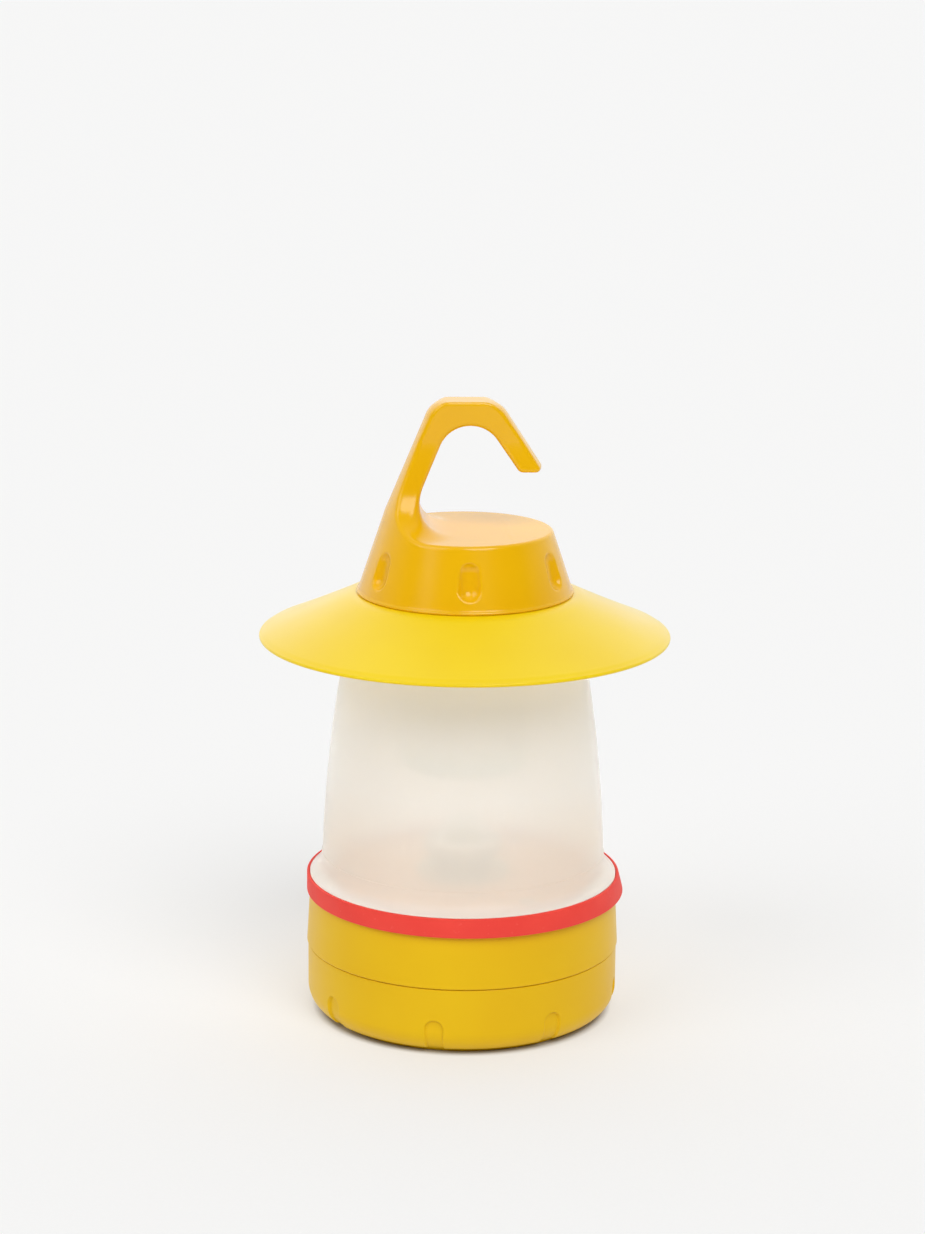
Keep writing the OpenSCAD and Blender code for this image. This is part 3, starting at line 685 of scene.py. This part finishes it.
def cover_outline(wall_r, seam_z):
    """The cover's outline: its inside, its wall, its rounded lower edge and its standing ring."""
    edge_r, edge_z, foot_z, corner = 7.72, 8.0, 1.6, 0.3
    edge_end = -math.degrees(math.asin((edge_z - foot_z) / edge_r))
    inner = [(0.01, 4), (0.3, 4), (1, 4), (20, 4), (39, 4), (39.5, 4), (42.2, 5), (43.4, 7.4), (43.4, 9.7)]
    inner += [(43.4, 10), (43.7, 10), (46.6, 10), (46.9, 10), (46.9, 10.3)]
    inner += [(46.9, seam_z - 0.3), (46.9, seam_z), (47.2, seam_z)]
    top = arc(wall_r - corner, seam_z - corner, corner, 90, 0, 4)
    wall = [(wall_r, z) for z in np.linspace(seam_z - 0.8, 12.6, 10)]
    wall += [(wall_r, z) for z in np.linspace(12.2, 8.4, 26)]
    edge = arc(wall_r - edge_r, edge_z, edge_r, 0, edge_end, 22)
    foot = [(45.6, 1.45), (44.2, 1.4), (44, 1.4), (43.97, 1.2), (43.95, 0.3), (43.7, 0), (43.4, 0)]
    foot += [(41.6, 0), (41.3, 0), (41, 0.3), (41, 1.4), (41, foot_z), (40.8, foot_z)]
    foot += [(20, foot_z), (1, foot_z), (0.3, foot_z), (0.01, foot_z)]
    return inner + top + wall + edge + foot


def make_cover():
    """The battery cover, with grip notches that run out through its rounded lower edge, lugs and floor ribs."""
    def radius_at(turn, r, z):
        outside = (r > 45.9) & (z > 1.5) & ~((r < 47) & (z >= 10))
        return r - np.where(outside, notch_depth(turn, z), 0)

    near = np.concatenate([np.linspace(-4.2, 4.2, 43) + turn for turn in NOTCH_TURNS])
    far = np.concatenate([np.linspace(5.2, 39.8, 18) + turn for turn in NOTCH_TURNS])
    outline = cover_outline(wall_r=49.75, seam_z=22.05)
    cup = lathe("cup", outline, np.sort(np.concatenate([near, far])), radius_at)
    lugs = [screw_lug(45.6, 47.4, turn, 19.1, 30) for turn in LUG_TURNS]
    cover = joined("cover_cup", [cup] + lugs + floor_ribs())
    paint(cover, base_yellow("cover_yellow"))
    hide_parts("battery_cover")
    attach(cover, "cover_body")


def finish_base():
    paint("base_shell", base_yellow("shell_yellow"))
    paint("power_button", rubber("button_red", *BAND_RED))
    for name in ("globe_gasket", "cover_seal"):
        paint(name, rubber(name + "_grey", *SEAL_GREY))


def smooth_group():
    """A modifier's node group that shades every face smooth."""
    group = bpy.data.node_groups.new("shade_smooth", "GeometryNodeTree")
    group.interface.new_socket("Geometry", in_out="INPUT", socket_type="NodeSocketGeometry")
    group.interface.new_socket("Geometry", in_out="OUTPUT", socket_type="NodeSocketGeometry")
    start = group.nodes.new("NodeGroupInput")
    smooth = group.nodes.new("GeometryNodeSetShadeSmooth")
    end = group.nodes.new("NodeGroupOutput")
    group.links.new(start.outputs[0], smooth.inputs[0])
    group.links.new(smooth.outputs[0], end.inputs[0])
    return group


def smooth_cad_nodes():
    """Smooth shading on the curved CAD faces, broken at every real edge, by modifiers only."""
    group = smooth_group()
    for node in nodes.values():
        smooth = node.modifiers.new("smooth", "NODES")
        smooth.node_group = group
        split = node.modifiers.new("edges", "EDGE_SPLIT")
        split.split_angle = math.radians(32)


# ---------- floor and light ----------

def make_floor():
    """Pale paper, lit a little from beneath as on a light table, which keeps shadows beside the lantern faint."""
    half = 120
    corners = [(-half, -half, 0), (half, -half, 0), (half, half, 0), (-half, half, 0)]
    floor = new_piece("floor", corners, [(0, 1, 2, 3)], False)
    mat, tree, shader = material("floor_paper", (0.50, 0.50, 0.498), 0.6, Specular_IOR_Level=0.0)
    shader.inputs["Emission Color"].default_value = (1, 1, 0.997, 1)
    place = tree.nodes.new("ShaderNodeTexCoord")
    flat = tree.nodes.new("ShaderNodeVectorMath")
    flat.operation = "LENGTH"
    tree.links.new(place.outputs["Object"], flat.inputs[0])
    # Painted contact shadow: the glow fades out between 48.5 and 45.5 mm from the axis, under the base's edge.
    tree.links.new(remap(tree, flat.outputs["Value"], 0.0455, 0.0485, 0, 0.41), shader.inputs["Emission Strength"])
    fibre = remap(tree, noise(tree, 900, 3), 0.3, 0.7, 0, 1)
    tree.links.new(blend_colors(tree, fibre, (0.505, 0.505, 0.503), (0.495, 0.495, 0.493)),
                   shader.inputs["Base Color"])
    paint(floor, mat)


def add_sun(name, azimuth, elevation, strength, spread):
    """A wide sun that stands in for a softbox, its angles in degrees."""
    data = bpy.data.lights.new(name, "SUN")
    data.energy = strength
    data.angle = math.radians(spread)
    lamp = bpy.data.objects.new(name, data)
    lamp.rotation_euler = (math.radians(90 - elevation), 0, math.radians(azimuth))
    bpy.context.scene.collection.objects.link(lamp)


def light_studio():
    """A white room, brighter at the back and dimmer behind the camera, with two softboxes above it in front."""
    scene = bpy.context.scene
    scene.view_settings.view_transform = "Standard"
    world = bpy.data.worlds.new("studio")
    world.use_nodes = True
    tree = world.node_tree
    place = tree.nodes.new("ShaderNodeTexCoord")
    split = tree.nodes.new("ShaderNodeSeparateXYZ")
    tree.links.new(place.outputs["Generated"], split.inputs["Vector"])
    background = tree.nodes["Background"]
    background.inputs["Color"].default_value = (1, 1, 1, 1)
    tree.links.new(remap(tree, split.outputs["Y"], -0.3, 0.8, 0.08, 1.2), background.inputs["Strength"])
    scene.world = world
    add_sun("softbox_right", 20, 48, 1.6, 38)
    add_sun("softbox_left", -52, 42, 0.85, 40)


smooth_cad_nodes()
place_camera()
make_floor()
light_studio()
make_hook_cap()
make_brim()
finish_globe()
finish_insides()
finish_metals()
finish_electrics()
make_band()
finish_base()
make_cover()
